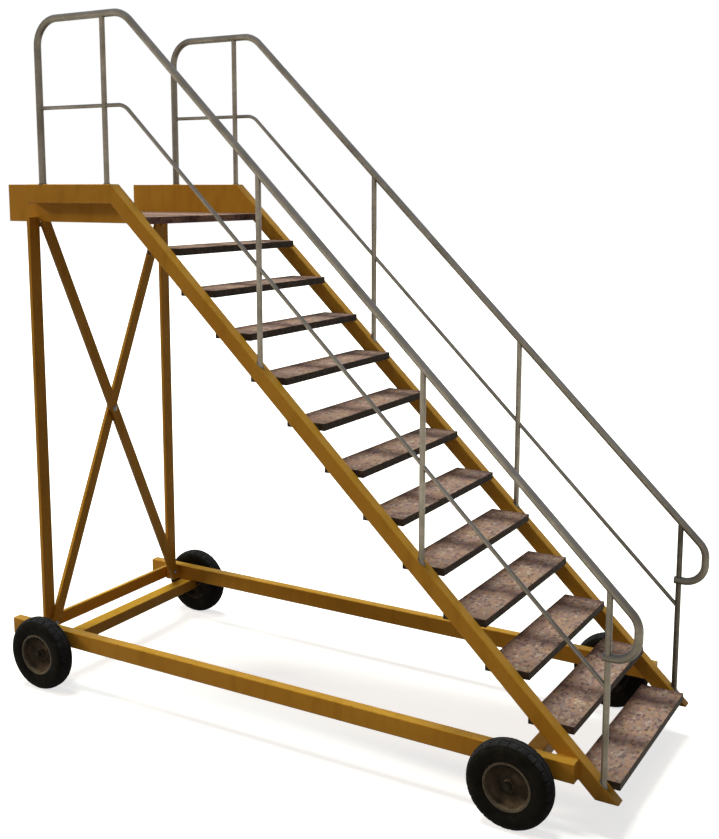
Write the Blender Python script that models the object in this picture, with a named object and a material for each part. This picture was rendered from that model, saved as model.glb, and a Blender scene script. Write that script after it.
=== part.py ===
"""Rolling warehouse ladder: a wheeled steel stair with a platform and tube handrails.

Metres, +Z up, wheels standing on Z = 0. The stair climbs towards +Y, and left is -X. Inside the script
Y = 0 is where the stringers meet the platform rails; the root empty then centres the ladder on the origin.
"""

import math

import bmesh
import bpy
from mathutils import Matrix, Vector

# Fits
GAP = 0.0003                    # between two pieces that touch
RUNNING_CLEARANCE = 0.0003      # between axle and bush, all round
END_PLAY = 0.0005               # along the axle, each side of a hub

# Stair
CLEAR_WIDTH = 1.020             # between the stringers
STEP_COUNT = 12
STEP_RISE = 0.200
STEP_GOING = 0.2105
FIRST_STEP_HEIGHT = 0.239
LAST_RISE = 0.152               # from the top step up to the deck
STEP_DEPTH = 0.213
STEP_THICKNESS = 0.036
STEP_SHEET = 0.003
STEP_OVERHANG = 0.062           # nose ahead of the stringer's upper edge
STRINGER_WIDTH = 0.060
STRINGER_DEPTH = 0.073          # square to the slope
STRINGER_WALL = 0.003
FOOT_HEIGHT = 0.167             # level cut of the stringers above the floor

# Platform
PLATFORM_RAIL_HEIGHT = 0.165    # its top above the deck
PLATFORM_RAIL_LENGTH = 0.583
PLATFORM_RAIL_WALL = 0.003
TOE_BOARD_LENGTH = 0.787        # behind the stair's top corner
TOE_BOARD_SHEET = 0.006
TOE_BOARD_DROP = 0.033          # its lower edge below the deck's top
TOE_BOARD_SHY = 0.001           # its upper edge below the platform rail's top
TOE_BOARD_FLANGE = 0.040
DECK_THICKNESS = 0.037
DECK_SHEET = 0.004

# Base
BASE_RAIL_WIDTH = 0.055
BASE_RAIL_DEPTH = 0.090
BASE_RAIL_WALL = 0.003
BASE_RAIL_SETBACK = 0.009       # front end behind the stringer's upper edge
BASE_RAIL_TAIL = 0.171          # rear end behind the posts
AXLE_BEAM_WIDTH = 0.080
AXLE_BEAM_DEPTH = 0.065
AXLE_BEAM_RISE = 0.0385         # its top above the axle's middle
AXLE_BEAM_WALL = 0.006
FRONT_AXLE_SETBACK = 0.263      # from the base rail's front end
REAR_AXLE_SETBACK = 0.274       # from the base rail's rear end

# Rear support
POST_Y = 0.575                  # front face behind the stair's top corner
POST_WIDTH = 0.072
POST_DEPTH = 0.024
POST_WALL = 0.0025
POST_FOOT_LIFT = 0.012          # above the base rail's underside
POST_LAP = 0.025                # up the outside of the toe board
TIE_DEPTH = 0.072
TIE_THICKNESS = 0.024
TIE_WALL = 0.0025
BRACE_WIDTH = 0.062
BRACE_DEPTH = 0.020
BRACE_WALL = 0.0025
BRACE_FOOT_INSET = 0.006        # brace's outer edge inboard of the post's outer face
BRACE_HEAD_LAP = -0.009         # brace's middle outboard of the post's inner face
BRACE_PAD_HEIGHT = 0.025
BRACE_PAD_ROOT = 0.001          # pad sunk into the brace's wall
BRACE_PAD_MARGIN = 0.002        # pad's sides inside the brace's end and edge
BOLT_RADIUS = 0.006
BOLT_HEAD_RADIUS = 0.014
BOLT_HEAD_HEIGHT = 0.008
BOLT_HOLE_CLEARANCE = 0.0005

# Handrails
HANDRAIL_RADIUS = 0.019
HANDRAIL_WALL = 0.0026
HANDRAIL_HEIGHT = 0.840         # above the platform rail
HANDRAIL_LOW_HEIGHT = 0.867     # above the stringer at the lower upright
HANDRAIL_END_Y = 0.4865         # the tube's own rear upright
HANDRAIL_CORNER_Y = -0.099      # where the level run turns down the stair
CORNER_BEND = 0.135
SLOPE_BEND = 0.150
LOOP_BEND = 0.100
LOOP_REACH = 0.126              # hand loop ahead of the lower upright
LOOP_DROP = 0.300               # its return below the sloping run
LOOP_TAIL = 0.021               # its return past the lower upright
MID_RAIL_RADIUS = 0.010
MID_RAIL_WALL = 0.002
MID_RAIL_HEIGHT = 0.392
MID_RAIL_LOW_HEIGHT = 0.431
MID_RAIL_CORNER_Y = -0.093
MID_RAIL_BEND = 0.100
UPRIGHT_RADIUS = 0.014
UPRIGHT_WALL = 0.0025
PLATFORM_UPRIGHT_Y = 0.037
LOWER_UPRIGHT_SETBACK = 0.073   # behind the stringer's foot
UPRIGHT_PITCH = 0.875           # along Y

# Wheels
WHEEL_RADIUS = 0.201
TYRE_WIDTH = 0.100
TYRE_WALL = 0.008
TREAD_THICKNESS = 0.012
TREAD_EDGE_WIDTH = 0.046
TREAD_EDGE_DROP = 0.003
SHOULDER_WIDTH = 0.077
SHOULDER_DROP = 0.014
BEAD_WIDTH = 0.014
WHEEL_CLEARANCE = 0.010         # tyre to base rail
RIM_RADIUS = 0.1016             # bead seat
RIM_FLANGE = 0.011
RIM_WIDTH = 0.074               # between the flanges
RIM_SHEET = 0.003
DISC_OFFSET = -0.004            # disc at the barrel, from the wheel's middle
DISC_DISH = 0.010               # disc at the hub, further in
HUB_LENGTH = 0.070
HUB_OFFSET = -0.010             # hub's middle from the wheel's middle
HUB_WALL = 0.004
BUSH_WALL = 0.006
AXLE_RADIUS = 0.0125
AXLE_BOSS_WALL = 0.008
NUT_FLATS = 0.036
NUT_THICKNESS = 0.014
AXLE_POINT = 0.004              # axle past its nut

# Facets round a full circle
TUBE_SIDES = 12
SHAFT_SIDES = 16
WHEEL_SIDES = 28
BEND_STEP = math.radians(18)    # of turn for each segment of a bend

# Worked out from the sizes above
COT = STEP_GOING / STEP_RISE
SLOPE_COS = STEP_GOING / math.hypot(STEP_GOING, STEP_RISE)
TOP_STEP_HEIGHT = FIRST_STEP_HEIGHT + (STEP_COUNT - 1) * STEP_RISE
DECK_HEIGHT = TOP_STEP_HEIGHT + LAST_RISE
CORNER_HEIGHT = DECK_HEIGHT + PLATFORM_RAIL_HEIGHT
STRINGER_DROP = STRINGER_DEPTH / SLOPE_COS
INNER_FACE = CLEAR_WIDTH / 2
OUTER_FACE = INNER_FACE + STRINGER_WIDTH
BASE_INNER = OUTER_FACE + GAP
BASE_OUTER = BASE_INNER + BASE_RAIL_WIDTH
BEAM_TOP = WHEEL_RADIUS + AXLE_BEAM_RISE
BASE_LOW = BEAM_TOP + GAP
BASE_TOP = BASE_LOW + BASE_RAIL_DEPTH
TOE_LOW = DECK_HEIGHT - TOE_BOARD_DROP
TOE_TOP = CORNER_HEIGHT - TOE_BOARD_SHY
TOE_OUTER = INNER_FACE - GAP
TOE_INNER = TOE_OUTER - TOE_BOARD_SHEET
POST_REAR = POST_Y + POST_DEPTH
POST_LOW = BASE_LOW + POST_FOOT_LIFT
POST_INNER = OUTER_FACE - POST_WIDTH
HANDRAIL_X = OUTER_FACE - HANDRAIL_RADIUS
HANDRAIL_TOP = CORNER_HEIGHT + HANDRAIL_HEIGHT
MID_RAIL_TOP = CORNER_HEIGHT + MID_RAIL_HEIGHT
WHEEL_X = BASE_OUTER + WHEEL_CLEARANCE + TYRE_WIDTH / 2


def stringer_y(height):
    """Y of the stringer's upper edge at a height."""
    return (height - CORNER_HEIGHT) * COT


def stringer_z(y):
    """Height of the stringer's upper edge at Y."""
    return CORNER_HEIGHT + y / COT


DECK_FRONT = stringer_y(DECK_HEIGHT)
BASE_FRONT = stringer_y(BASE_TOP) + BASE_RAIL_SETBACK
BASE_REAR = POST_REAR + BASE_RAIL_TAIL
AXLE_Y = {"front": BASE_FRONT + FRONT_AXLE_SETBACK, "rear": BASE_REAR - REAR_AXLE_SETBACK}
LOWER_UPRIGHT_Y = stringer_y(FOOT_HEIGHT) + LOWER_UPRIGHT_SETBACK
UPRIGHT_Y = {
    "platform": PLATFORM_UPRIGHT_Y,
    "upper": LOWER_UPRIGHT_Y + 2 * UPRIGHT_PITCH,
    "middle": LOWER_UPRIGHT_Y + UPRIGHT_PITCH,
    "lower": LOWER_UPRIGHT_Y,
}
LOOP_FRONT = LOWER_UPRIGHT_Y - LOOP_REACH
SIDE_SIGN = {"left": -1, "right": 1}


class SlopingRun:
    """A rail that runs level over the platform and then down beside the stair."""

    def __init__(self, top, corner_y, low_height):
        self.top = top
        self.corner_y = corner_y
        low = stringer_z(LOWER_UPRIGHT_Y) + low_height
        self.rise = (top - low) / (corner_y - LOWER_UPRIGHT_Y)
        self.cos = 1 / math.hypot(1, self.rise)

    def height(self, y):
        return self.top + min(0.0, y - self.corner_y) * self.rise

    def slant(self, y):
        return self.cos if y < self.corner_y else 1.0


HANDRAIL_RUN = SlopingRun(HANDRAIL_TOP, HANDRAIL_CORNER_Y, HANDRAIL_LOW_HEIGHT)
MID_RAIL_RUN = SlopingRun(MID_RAIL_TOP, MID_RAIL_CORNER_Y, MID_RAIL_LOW_HEIGHT)


# Finishes

def finish(name, color, roughness, metallic):
    material = bpy.data.materials.new(name)
    material.use_nodes = True
    shader = material.node_tree.nodes["Principled BSDF"]
    shader.inputs["Base Color"].default_value = (*color, 1.0)
    shader.inputs["Roughness"].default_value = roughness
    shader.inputs["Metallic"].default_value = metallic
    return material


for leftover in list(bpy.data.objects):
    bpy.data.objects.remove(leftover, do_unlink=True)

YELLOW_PAINT = finish("yellow_paint", (0.36, 0.17, 0.02), 0.5, 0.0)
GALVANISED = finish("galvanised_steel", (0.30, 0.28, 0.25), 0.45, 0.8)
GRIT_COAT = finish("brown_grit_coat", (0.26, 0.17, 0.13), 0.9, 0.0)
TYRE_RUBBER = finish("tyre_rubber", (0.012, 0.012, 0.011), 0.85, 0.0)
RIM_STEEL = finish("rim_steel", (0.09, 0.075, 0.06), 0.6, 0.5)
BRIGHT_STEEL = finish("bright_steel", (0.45, 0.45, 0.45), 0.35, 1.0)
BRONZE = finish("bush_bronze", (0.45, 0.28, 0.12), 0.4, 1.0)


# Building blocks

def empty(name, location, parent=None):
    holder = bpy.data.objects.new(name, None)
    bpy.context.scene.collection.objects.link(holder)
    holder.location = location
    holder.parent = parent
    return holder


def add_object(name, mesh, parent, material, smooth_angle=None):
    piece = bpy.data.objects.new(name, mesh)
    bpy.context.scene.collection.objects.link(piece)
    piece.parent = parent
    mesh.materials.clear()
    mesh.materials.append(material)
    if smooth_angle is not None:
        mesh.shade_smooth()
        mesh.set_sharp_from_angle(angle=math.radians(smooth_angle))
    return piece


def to_mesh(name, shape):
    bmesh.ops.recalc_face_normals(shape, faces=shape.faces)
    mesh = bpy.data.meshes.new(name)
    shape.to_mesh(mesh)
    shape.free()
    return mesh


def box_shape(low, high):
    """A bmesh box between two corners."""
    low = Vector(low)
    high = Vector(high)
    shape = bmesh.new()
    place = Matrix.Translation((low + high) / 2) @ Matrix.Diagonal((*(high - low), 1.0))
    bmesh.ops.create_cube(shape, size=1.0, matrix=place)
    return shape


def face_towards(shape, direction):
    """The face that looks most nearly along a direction."""
    return max(shape.faces, key=lambda face: face.normal.dot(Vector(direction)))


def pocket(shape, direction, wall, depth):
    """Hollow a box from the face that looks along a direction."""
    bmesh.ops.recalc_face_normals(shape, faces=shape.faces)
    mouth = face_towards(shape, direction)
    bmesh.ops.inset_region(shape, faces=[mouth], thickness=wall)
    made = bmesh.ops.extrude_face_region(shape, geom=[mouth])
    floor = [item for item in made["geom"] if isinstance(item, bmesh.types.BMVert)]
    bmesh.ops.translate(shape, verts=floor, vec=Vector(direction) * -depth)
    bmesh.ops.delete(shape, geom=[mouth], context="FACES_ONLY")


def outline_shape(points, sweep):
    """A solid from an outline of 3-D points, extruded along a vector."""
    shape = bmesh.new()
    outline = shape.faces.new([shape.verts.new(point) for point in points])
    made = bmesh.ops.extrude_face_region(shape, geom=[outline])
    far = [item for item in made["geom"] if isinstance(item, bmesh.types.BMVert)]
    bmesh.ops.translate(shape, verts=far, vec=sweep)
    return shape


def sleeve_shape(outer, inner, first, last):
    """A hollow bar: two section loops, placed at its ends by two functions."""
    shape = bmesh.new()
    loops = []
    for section in (outer, inner):
        corners = [shape.verts.new((a, b, 0.0)) for a, b in section]
        loops += [shape.edges.new(pair) for pair in zip(corners, corners[1:] + corners[:1])]
    ring = bmesh.ops.bridge_loops(shape, edges=loops)["faces"]
    near = list(shape.verts)
    made = bmesh.ops.extrude_face_region(shape, geom=ring)
    far = [item for item in made["geom"] if isinstance(item, bmesh.types.BMVert)]
    for corner in far:
        corner.co = last(corner.co.x, corner.co.y)
    for corner in near:
        corner.co = first(corner.co.x, corner.co.y)
    return shape


def turned_shape(profile, axis, sides):
    """A ring or solid turned from a closed profile of (radius, along) points about X or Y."""
    shape = bmesh.new()
    if axis == "X":
        corners = [shape.verts.new((along, 0.0, radius)) for radius, along in profile]
        turn = Vector((1.0, 0.0, 0.0))
    else:
        corners = [shape.verts.new((0.0, along, radius)) for radius, along in profile]
        turn = Vector((0.0, 1.0, 0.0))
    following = corners[1:] + corners[:1]
    edges = [shape.edges.new((here, there)) for here, there in zip(corners, following)
             if here.co.z > 0 or there.co.z > 0]
    bmesh.ops.spin(shape, geom=corners + edges, cent=(0, 0, 0), axis=turn,
                   angle=math.tau, steps=sides, use_merge=True)
    bmesh.ops.remove_doubles(shape, verts=shape.verts, dist=1e-6)
    return shape


def rectangle(width, depth, inset=(0.0, 0.0)):
    """Corners of a rectangle centred on zero, drawn in by an inset."""
    a = width / 2 - inset[0]
    b = depth / 2 - inset[1]
    return [(-a, -b), (a, -b), (a, b), (-a, b)]


def circle(radius, sides):
    """Corners of a regular polygon on a circle."""
    return [(radius * math.cos(math.tau * i / sides), radius * math.sin(math.tau * i / sides))
            for i in range(sides)]


def clear_of(radius, sides):
    """Corner radius of a polygon whose flats stay outside a radius."""
    return radius / math.cos(math.pi / sides)


def cylinder_shape(start, end, radius, sides):
    """A plain cylinder between two points."""
    start = Vector(start)
    end = Vector(end)
    shape = bmesh.new()
    along = end - start
    place = Matrix.Translation((start + end) / 2) @ along.to_track_quat("Z", "Y").to_matrix().to_4x4()
    bmesh.ops.create_cone(shape, cap_ends=True, segments=sides, radius1=radius, radius2=radius,
                          depth=along.length, matrix=place)
    return shape


def combine(piece, shape, operation):
    """Cut a shape from a piece, or join it on, with a Boolean modifier."""
    number = len(piece.modifiers) + 1
    name = f"{piece.name}_{operation.lower()}_{number}"
    tool = bpy.data.objects.new(name, to_mesh(name, shape))
    bpy.context.scene.collection.objects.link(tool)
    tool.parent = piece.parent
    tool.hide_render = True
    tool.display_type = "WIRE"
    change = piece.modifiers.new(name, "BOOLEAN")
    change.operation = operation
    change.solver = "EXACT"
    change.object = tool


def rounded_path(corners, radii):
    """Points along straight runs whose inner corners are bent to given radii."""
    points = [Vector(corners[0])]
    for i, radius in enumerate(radii, start=1):
        corner = Vector(corners[i])
        back = (Vector(corners[i - 1]) - corner).normalized()
        ahead = (Vector(corners[i + 1]) - corner).normalized()
        half = back.angle(ahead) / 2
        centre = corner + (back + ahead).normalized() * (radius / math.sin(half))
        start = corner + back * (radius / math.tan(half)) - centre
        end = corner + ahead * (radius / math.tan(half)) - centre
        turn = start.angle(end)
        steps = max(2, math.ceil(turn / BEND_STEP))
        for step in range(steps + 1):
            share = step / steps
            arm = (start * math.sin((1 - share) * turn) + end * math.sin(share * turn)) / math.sin(turn)
            points.append(centre + arm)
    points.append(Vector(corners[-1]))
    return points


def bent_tube(name, points, radius, wall, parent, material):
    """A hollow tube bent along a path, open at both ends."""
    curve = bpy.data.curves.new(name, "CURVE")
    curve.dimensions = "3D"
    curve.bevel_depth = radius
    curve.bevel_resolution = (TUBE_SIDES - 4) // 2
    run = curve.splines.new("POLY")
    run.points.add(len(points) - 1)
    for spot, point in zip(run.points, points):
        spot.co = (*point, 1.0)
    guide = bpy.data.objects.new(name + "_path", curve)
    bpy.context.scene.collection.objects.link(guide)
    skin = guide.modifiers.new("wall", "SOLIDIFY")
    skin.thickness = wall
    skin.offset = -1.0
    skin.use_even_offset = True
    evaluated = guide.evaluated_get(bpy.context.evaluated_depsgraph_get())
    mesh = bpy.data.meshes.new_from_object(evaluated)
    bpy.data.objects.remove(guide, do_unlink=True)
    return add_object(name, mesh, parent, material, smooth_angle=40)


# Stair and platform

def make_step(number, parent):
    top = FIRST_STEP_HEIGHT + (number - 1) * STEP_RISE
    nose = stringer_y(top) - STEP_OVERHANG
    half = INNER_FACE - GAP
    shape = box_shape((-half, nose, top - STEP_THICKNESS), (half, nose + STEP_DEPTH, top))
    pocket(shape, (0, 0, -1), STEP_SHEET, STEP_THICKNESS - STEP_SHEET)
    name = f"step_{number:02d}"
    add_object(name, to_mesh(name, shape), parent, GRIT_COAT)


def make_stringer(side, parent):
    name = f"stringer_{side}"
    middle = SIDE_SIGN[side] * (INNER_FACE + STRINGER_WIDTH / 2)
    mitre = CORNER_HEIGHT - STRINGER_DROP / 2
    outer = rectangle(STRINGER_WIDTH, STRINGER_DROP)
    inner = rectangle(STRINGER_WIDTH, STRINGER_DROP, (STRINGER_WALL, STRINGER_WALL / SLOPE_COS))

    def head(a, b):
        return Vector((middle + a, -GAP, mitre + b - GAP / COT))

    def foot(a, b):
        return Vector((middle + a, (FOOT_HEIGHT - mitre - b) * COT, FOOT_HEIGHT))

    add_object(name, to_mesh(name, sleeve_shape(outer, inner, head, foot)), parent, YELLOW_PAINT)


def make_platform_rail(side, parent):
    name = f"platform_rail_{side}"
    edges = sorted((SIDE_SIGN[side] * INNER_FACE, SIDE_SIGN[side] * OUTER_FACE))
    shape = box_shape((edges[0], 0.0, CORNER_HEIGHT - STRINGER_DROP),
                      (edges[1], PLATFORM_RAIL_LENGTH, CORNER_HEIGHT))
    pocket(shape, (0, -1, 0), PLATFORM_RAIL_WALL, PLATFORM_RAIL_LENGTH - PLATFORM_RAIL_WALL)
    add_object(name, to_mesh(name, shape), parent, YELLOW_PAINT)


def make_toe_board(side, parent):
    name = f"toe_board_{side}"
    sign = SIDE_SIGN[side]
    outline = [
        (sign * TOE_OUTER, TOE_BOARD_LENGTH, TOE_LOW),
        (sign * TOE_OUTER, TOE_BOARD_LENGTH, TOE_TOP),
        (sign * TOE_OUTER, stringer_y(TOE_TOP), TOE_TOP),
        (sign * TOE_OUTER, DECK_FRONT, DECK_HEIGHT),
        (sign * TOE_OUTER, DECK_FRONT, TOE_LOW),
    ]
    web = outline_shape(outline, (-sign * TOE_BOARD_SHEET, 0, 0))
    board = add_object(name, to_mesh(name, web), parent, YELLOW_PAINT)
    root = TOE_OUTER - TOE_BOARD_SHEET / 2
    edges = sorted((sign * root, sign * (TOE_INNER - TOE_BOARD_FLANGE)))
    flange = box_shape((edges[0], DECK_FRONT + DECK_SHEET + GAP, TOE_LOW),
                       (edges[1], TOE_BOARD_LENGTH, TOE_LOW + TOE_BOARD_SHEET))
    combine(board, flange, "UNION")


def make_deck(parent):
    half = TOE_INNER - GAP
    low = DECK_HEIGHT - DECK_THICKNESS
    shape = box_shape((-half, DECK_FRONT, low), (half, TOE_BOARD_LENGTH, DECK_HEIGHT))
    pocket(shape, (0, 0, -1), DECK_SHEET, DECK_THICKNESS - DECK_SHEET)
    deck = add_object("platform_deck", to_mesh("platform_deck", shape), parent, GRIT_COAT)
    # Behind the nose the pan's sides are cut short, so that they sit on the toe boards' flanges.
    past = DECK_THICKNESS
    seat = box_shape((-half - past, DECK_FRONT + DECK_SHEET, low - past),
                     (half + past, TOE_BOARD_LENGTH + past, TOE_LOW + TOE_BOARD_SHEET + GAP))
    combine(deck, seat, "DIFFERENCE")


# Base and rear support

def make_base_rail(side, parent):
    name = f"base_rail_{side}"
    edges = sorted((SIDE_SIGN[side] * BASE_INNER, SIDE_SIGN[side] * BASE_OUTER))
    shape = box_shape((edges[0], BASE_FRONT, BASE_LOW), (edges[1], BASE_REAR, BASE_TOP))
    pocket(shape, (0, 1, 0), BASE_RAIL_WALL, BASE_REAR - BASE_FRONT - BASE_RAIL_WALL)
    add_object(name, to_mesh(name, shape), parent, YELLOW_PAINT)


def make_axle_beam(end, parent):
    """An inverted channel under the base rails, with a bored boss on each end wall."""
    name = f"{end}_axle_beam"
    y = AXLE_Y[end]
    half = BASE_OUTER
    hub_start = WHEEL_X + HUB_OFFSET - HUB_LENGTH / 2
    boss_end = hub_start - END_PLAY
    shape = box_shape((-half, y - AXLE_BEAM_WIDTH / 2, BEAM_TOP - AXLE_BEAM_DEPTH),
                      (half, y + AXLE_BEAM_WIDTH / 2, BEAM_TOP))
    pocket(shape, (0, 0, -1), AXLE_BEAM_WALL, AXLE_BEAM_DEPTH - AXLE_BEAM_WALL)
    beam = add_object(name, to_mesh(name, shape), parent, YELLOW_PAINT)
    boss_radius = AXLE_RADIUS + AXLE_BOSS_WALL
    for sign in SIDE_SIGN.values():
        root = sign * (half - AXLE_BEAM_WALL / 2)
        boss = cylinder_shape((root, y, WHEEL_RADIUS), (sign * boss_end, y, WHEEL_RADIUS),
                              boss_radius, SHAFT_SIDES)
        combine(beam, boss, "UNION")
    bore = cylinder_shape((-WHEEL_X, y, WHEEL_RADIUS), (WHEEL_X, y, WHEEL_RADIUS),
                          clear_of(AXLE_RADIUS + GAP, SHAFT_SIDES), SHAFT_SIDES)
    combine(beam, bore, "DIFFERENCE")


def make_rear_post(side, parent):
    """A flat tube, open below, notched at the top to pass the toe board."""
    name = f"rear_post_{side}"
    sign = SIDE_SIGN[side]
    notch = TOE_LOW - GAP
    outline = [
        (sign * OUTER_FACE, POST_Y, POST_LOW),
        (sign * OUTER_FACE, POST_Y, TOE_LOW + POST_LAP),
        (sign * INNER_FACE, POST_Y, TOE_LOW + POST_LAP),
        (sign * INNER_FACE, POST_Y, notch),
        (sign * POST_INNER, POST_Y, notch),
        (sign * POST_INNER, POST_Y, POST_LOW),
    ]
    shape = outline_shape(outline, (0, POST_DEPTH, 0))
    pocket(shape, (0, 0, -1), POST_WALL, notch - POST_LOW - POST_WALL)
    add_object(name, to_mesh(name, shape), parent, YELLOW_PAINT)


def make_rear_tie(parent):
    half = BASE_INNER - GAP
    centre = Vector((0, POST_REAR + GAP + TIE_THICKNESS / 2, BASE_TOP - TIE_DEPTH / 2))
    outer = rectangle(TIE_THICKNESS, TIE_DEPTH)
    inner = rectangle(TIE_THICKNESS, TIE_DEPTH, (TIE_WALL, TIE_WALL))
    shape = sleeve_shape(outer, inner,
                         lambda a, b: centre + Vector((-half, a, b)),
                         lambda a, b: centre + Vector((half, a, b)))
    add_object("rear_tie", to_mesh("rear_tie", shape), parent, YELLOW_PAINT)


BRACE_LOW = POST_LOW
BRACE_TOP = TOE_LOW - GAP
BRACE_FOOT_X = OUTER_FACE - BRACE_FOOT_INSET - BRACE_WIDTH / 2
BRACE_HEAD_X = POST_INNER + BRACE_HEAD_LAP
BRACE_LEAN = (BRACE_FOOT_X + BRACE_HEAD_X) / (BRACE_TOP - BRACE_LOW)
BRACE_LEVEL_WIDTH = BRACE_WIDTH * math.hypot(1, BRACE_LEAN)
BRACE_CROSSING = BRACE_LOW + BRACE_FOOT_X / BRACE_LEAN
REAR_BRACE_FRONT = POST_Y - GAP - BRACE_DEPTH
FRONT_BRACE_FRONT = REAR_BRACE_FRONT - GAP - BRACE_DEPTH


def make_brace(name, foot_side, front, parent):
    """A flat tube from the foot of one post to the head of the other, cut level at both ends."""
    outer = rectangle(BRACE_LEVEL_WIDTH, BRACE_DEPTH)
    level_wall = BRACE_WALL * math.hypot(1, BRACE_LEAN)
    inner = rectangle(BRACE_LEVEL_WIDTH, BRACE_DEPTH, (level_wall, BRACE_WALL))
    middle = front + BRACE_DEPTH / 2
    shape = sleeve_shape(outer, inner,
                         lambda a, b: Vector((foot_side * BRACE_FOOT_X + a, middle + b, BRACE_LOW)),
                         lambda a, b: Vector((-foot_side * BRACE_HEAD_X + a, middle + b, BRACE_TOP)))
    brace = add_object(name, to_mesh(name, shape), parent, YELLOW_PAINT)
    hole = cylinder_shape((0, front - BRACE_DEPTH, BRACE_CROSSING),
                          (0, front + 2 * BRACE_DEPTH, BRACE_CROSSING),
                          clear_of(BOLT_RADIUS + BOLT_HOLE_CLEARANCE, TUBE_SIDES), TUBE_SIDES)
    combine(brace, hole, "DIFFERENCE")
    return brace


def add_brace_pad(brace, post_side, low, high, outer_edge):
    """A block that packs the front brace out to the post behind it."""
    edges = sorted((post_side * POST_INNER, post_side * outer_edge))
    pad = box_shape((edges[0], REAR_BRACE_FRONT - GAP - BRACE_PAD_ROOT, low),
                    (edges[1], POST_Y - GAP, high))
    combine(brace, pad, "UNION")


def make_braces(parent):
    make_brace("brace_rear", -1, REAR_BRACE_FRONT, parent)
    brace = make_brace("brace_front", 1, FRONT_BRACE_FRONT, parent)
    foot = BRACE_LOW + BRACE_PAD_MARGIN
    head = BRACE_TOP - BRACE_PAD_MARGIN
    pad_drop = BRACE_PAD_MARGIN + BRACE_PAD_HEIGHT
    pad_reach = BRACE_LEVEL_WIDTH / 2 - pad_drop * BRACE_LEAN - BRACE_PAD_MARGIN
    add_brace_pad(brace, 1, foot, foot + BRACE_PAD_HEIGHT, BRACE_FOOT_X + pad_reach)
    add_brace_pad(brace, -1, head - BRACE_PAD_HEIGHT, head, BRACE_HEAD_X + pad_reach)
    make_brace_bolt(parent)


def make_brace_bolt(parent):
    """Dome-headed bolt through the crossing, with its nut drawn up behind."""
    front = FRONT_BRACE_FRONT - GAP
    rear = REAR_BRACE_FRONT + BRACE_DEPTH + GAP
    dome = [(BOLT_HEAD_RADIUS * math.cos(turn), front - BOLT_HEAD_HEIGHT * math.sin(turn))
            for turn in (0, math.pi / 6, math.pi / 3)]
    tip = (0.0, front - BOLT_HEAD_HEIGHT)
    end = rear + BOLT_HEAD_HEIGHT
    nut = [(0.0, end), (BOLT_HEAD_RADIUS, end), (BOLT_HEAD_RADIUS, rear)]
    shank = [(BOLT_RADIUS, rear), (BOLT_RADIUS, front)]
    shape = turned_shape(dome + [tip] + nut + shank, "Y", TUBE_SIDES)
    bmesh.ops.translate(shape, verts=shape.verts, vec=(0, 0, BRACE_CROSSING))
    add_object("brace_bolt", to_mesh("brace_bolt", shape), parent, BRIGHT_STEEL, smooth_angle=40)


# Handrails

def make_handrail(side, parent):
    x = SIDE_SIGN[side] * HANDRAIL_X
    loop_height = HANDRAIL_RUN.height(LOWER_UPRIGHT_Y) - LOOP_DROP
    corners = [
        (x, HANDRAIL_END_Y, CORNER_HEIGHT + GAP),
        (x, HANDRAIL_END_Y, HANDRAIL_TOP),
        (x, HANDRAIL_CORNER_Y, HANDRAIL_TOP),
        (x, LOOP_FRONT, HANDRAIL_RUN.height(LOOP_FRONT)),
        (x, LOOP_FRONT, loop_height),
        (x, LOWER_UPRIGHT_Y + LOOP_TAIL, loop_height),
    ]
    path = rounded_path(corners, (CORNER_BEND, SLOPE_BEND, LOOP_BEND, LOOP_BEND))
    rail = bent_tube(f"handrail_{side}", path, HANDRAIL_RADIUS, HANDRAIL_WALL, parent, GALVANISED)
    # The lower upright passes through the loop's return.
    hole = cylinder_shape((x, LOWER_UPRIGHT_Y, loop_height - 2 * HANDRAIL_RADIUS),
                          (x, LOWER_UPRIGHT_Y, loop_height + 2 * HANDRAIL_RADIUS),
                          clear_of(UPRIGHT_RADIUS + GAP, TUBE_SIDES), TUBE_SIDES)
    combine(rail, hole, "DIFFERENCE")


def make_mid_rail(side, parent):
    x = SIDE_SIGN[side] * HANDRAIL_X
    corners = [
        (x, HANDRAIL_END_Y, MID_RAIL_TOP),
        (x, MID_RAIL_CORNER_Y, MID_RAIL_TOP),
        (x, LOWER_UPRIGHT_Y, MID_RAIL_RUN.height(LOWER_UPRIGHT_Y)),
    ]
    path = rounded_path(corners, (MID_RAIL_BEND,))
    rail = bent_tube(f"mid_rail_{side}", path, MID_RAIL_RADIUS, MID_RAIL_WALL, parent, GALVANISED)
    # Both ends are notched to the tubes that they meet.
    reach = 4 * HANDRAIL_RADIUS
    for end, radius in ((corners[0], HANDRAIL_RADIUS), (corners[-1], UPRIGHT_RADIUS)):
        spot = Vector(end)
        tool = cylinder_shape(spot - Vector((0, 0, reach)), spot + Vector((0, 0, reach)),
                              clear_of(radius + GAP, TUBE_SIDES), TUBE_SIDES)
        combine(rail, tool, "DIFFERENCE")


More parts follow.
